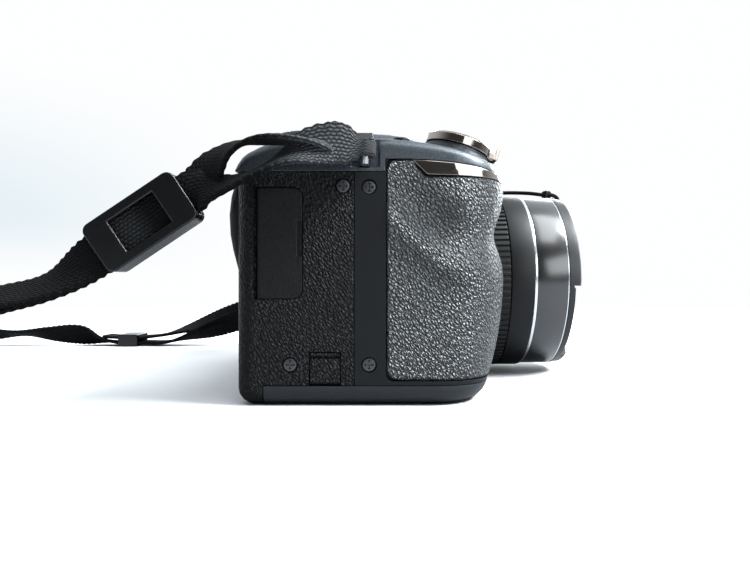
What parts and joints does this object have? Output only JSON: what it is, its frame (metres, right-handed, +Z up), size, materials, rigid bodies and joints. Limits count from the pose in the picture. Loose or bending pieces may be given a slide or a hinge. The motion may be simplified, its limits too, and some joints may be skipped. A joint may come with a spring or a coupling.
{
  "type": "bridge camera",
  "caption": "Bridge camera with a deep rubber hand grip, retracting zoom lens with its cap on, pop-up flash, hinged terminal and battery doors, and a webbing neck strap.",
  "frame": {"origin": "on the base plane, under the lens axis", "axes": "+Z up, -Y the way the lens looks, -X towards the hand grip"},
  "size_m": [0.1539, 0.2717, 0.0809],
  "materials": {
    "rear_shell": "wrinkled leather-look texture",
    "front_shell": "satin",
    "grip_rubber": "pebbled leather-look texture",
    "bright_trim": "dark bronze, glossy",
    "thumb_rubber": "matt",
    "top_shell": "fine speckle",
    "base_shell": "satin",
    "screws": "black",
    "steel": "plated",
    "screen_glass": "polished",
    "inner_plastic": "plain",
    "control_black": "satin",
    "lens_black": "matt",
    "silver_ring": "bright",
    "circuit": "solder mask",
    "lens_glass": "coated",
    "gloss_band": "glossy",
    "cap_plastic": "satin",
    "cells": "printed sleeve, plain",
    "flap_black": "satin",
    "record_red": "glossy",
    "webbing": "woven",
    "slider_black": "glossy"
  },
  "bodies": {
    "body": {"rear_cover": "rear_shell", "front_cover": "front_shell", "grip_skin": "grip_rubber", "grip_trim": "bright_trim", "thumb_rest": "thumb_rubber", "top_cover": "top_shell", "bottom_cover": "base_shell", "case_screws": "screws", "strap_lugs": "steel", "lcd_window": "screen_glass", "lcd_module": "inner_plastic", "eyecup": "thumb_rubber", "eyepiece_glass": "screen_glass", "evf_module": "inner_plastic", "lens_housing": "lens_black", "lens_grip_ring": "lens_black", "lens_trim_ring": "silver_ring", "lens_base": "inner_plastic", "image_sensor": "circuit", "zoom_glass": "lens_glass", "chassis": "steel", "battery_box": "inner_plastic", "battery_cells": "cells", "main_board": "circuit", "flash_capacitor": "inner_plastic", "zoom_motor": "steel", "tripod_socket": "steel", "terminal_sockets": "steel", "battery_hinge_pin": "steel", "strap_near": "webbing", "strap_roll": "webbing", "strap_far": "webbing", "strap_sliders": "slider_black", "cap_tether": "webbing"},
    "terminal_flap": {"terminal_cover": "flap_black"},
    "power_flap": {"dc_flap": "flap_black"},
    "cell_door": {"battery_door": "base_shell"},
    "cell_latch": {"battery_latch": "control_black"},
    "front_barrel": {"barrel_front": "gloss_band", "front_bezel": "lens_black", "front_glass": "lens_glass"},
    "middle_barrel": {"barrel_middle": "lens_black"},
    "cap": {"lens_cap": "cap_plastic"},
    "cap_tab_a": {"cap_tab_near": "cap_plastic"},
    "cap_tab_b": {"cap_tab_far": "cap_plastic"},
    "dial": {"mode_dial": "control_black"},
    "switch": {"power_switch": "control_black"},
    "lever": {"zoom_lever": "bright_trim"},
    "shutter": {"shutter_button": "silver_ring"},
    "burst": {"burst_button": "control_black"},
    "flash": {"flash_head": "top_shell", "flash_pin": "steel", "flash_window": "lens_glass"},
    "flash_key": {"flash_button": "control_black"},
    "diopter": {"diopter_dial": "control_black"},
    "movie": {"movie_button": "record_red"},
    "playback": {"playback_button": "control_black"},
    "selector": {"selector_pad": "control_black"},
    "ok": {"ok_button": "control_black"}
  },
  "joints": [
    {"name": "terminal_hinge", "type": "hinge", "parent": "body", "child": "terminal_flap", "pos_m": [-0.0652, 0.0288, 0.0406], "axis": [0, 0, -1], "range_deg": [0, 65]},
    {"name": "power_flap_hinge", "type": "hinge", "parent": "body", "child": "power_flap", "pos_m": [-0.0652, 0.01245, 0.0061], "axis": [0, -1, 0], "range_deg": [0, 95]},
    {"name": "cell_door_hinge", "type": "hinge", "parent": "body", "child": "cell_door", "pos_m": [-0.022, 0.006, 0.0017], "axis": [0, -1, 0], "range_deg": [0, 90]},
    {"name": "cell_latch_slide", "type": "slide", "parent": "cell_door", "child": "cell_latch", "axis": [1, 0, 0], "range_m": [0, 0.003]},
    {"name": "zoom_front", "type": "slide", "parent": "body", "child": "front_barrel", "axis": [0, -1, 0], "range_m": [0, 0.036], "deforming": ["cap_tether"]},
    {"name": "zoom_middle", "type": "slide", "parent": "body", "child": "middle_barrel", "axis": [0, -1, 0], "range_m": [0, 0.018]},
    {"name": "cap_off", "type": "slide", "parent": "front_barrel", "child": "cap", "axis": [0, -1, 0], "range_m": [0, 0.025], "deforming": ["cap_tether"]},
    {"name": "cap_tab_near_pinch", "type": "slide", "parent": "cap", "child": "cap_tab_a", "axis": [0.848, 0, 0.5299], "range_m": [0, 0.001], "stiffness_N_per_m": 900, "springref_m": -0.0005},
    {"name": "cap_tab_far_pinch", "type": "slide", "parent": "cap", "child": "cap_tab_b", "axis": [-0.848, 0, -0.5299], "range_m": [0, 0.001], "stiffness_N_per_m": 900, "springref_m": -0.0005},
    {"name": "mode_dial_turn", "type": "hinge", "parent": "body", "child": "dial", "pos_m": [-0.0415, 0.0195, 0.07], "axis": [0, 0, 1], "continuous": true},
    {"name": "power_slide", "type": "slide", "parent": "body", "child": "switch", "axis": [0, -1, 0], "range_m": [0, 0.003]},
    {"name": "zoom_lever_turn", "type": "hinge", "parent": "body", "child": "lever", "pos_m": [-0.0525, -0.0223, 0.0666], "axis": [0, -0.2924, 0.9563], "range_deg": [-18, 18], "stiffness_Nm_per_rad": 0.03},
    {"name": "shutter_press", "type": "slide", "parent": "body", "child": "shutter", "axis": [0, 0.2924, -0.9563], "range_m": [0, 0.0012], "stiffness_N_per_m": 700, "springref_m": -0.0004},
    {"name": "burst_press", "type": "slide", "parent": "body", "child": "burst", "axis": [0, 0.0872, -0.9962], "range_m": [0, 0.0006], "stiffness_N_per_m": 900, "springref_m": -0.0004},
    {"name": "flash_hinge", "type": "hinge", "parent": "body", "child": "flash", "pos_m": [0, 0.003, 0.07869], "axis": [-1, 0, 0], "range_deg": [0, 48]},
    {"name": "flash_key_press", "type": "slide", "parent": "body", "child": "flash_key", "axis": [-1, 0, 0], "range_m": [0, 0.0008], "stiffness_N_per_m": 900, "springref_m": -0.0004},
    {"name": "diopter_turn", "type": "hinge", "parent": "body", "child": "diopter", "pos_m": [0.0185, 0.029, 0.07], "axis": [0, 0, 1], "range_deg": [-140, 140]},
    {"name": "movie_press", "type": "slide", "parent": "body", "child": "movie", "axis": [0, -1, 0], "range_m": [0, 0.0005], "stiffness_N_per_m": 900, "springref_m": -0.0004},
    {"name": "playback_press", "type": "slide", "parent": "body", "child": "playback", "axis": [0, -1, 0], "range_m": [0, 0.0005], "stiffness_N_per_m": 900, "springref_m": -0.0004},
    {"name": "selector_tilt", "type": "hinge", "parent": "body", "child": "selector", "pos_m": [-0.041, 0.032, 0.024], "axis": [1, 0, 0], "range_deg": [-1.8, 1.8], "stiffness_Nm_per_rad": 0.5},
    {"name": "ok_press", "type": "slide", "parent": "body", "child": "ok", "axis": [0, -1, 0], "range_m": [0, 0.0005], "stiffness_N_per_m": 900, "springref_m": -0.0004}
  ],
  "couplings": [
    {"joint": "zoom_middle", "follows": "zoom_front", "ratio": 0.5}
  ]
}
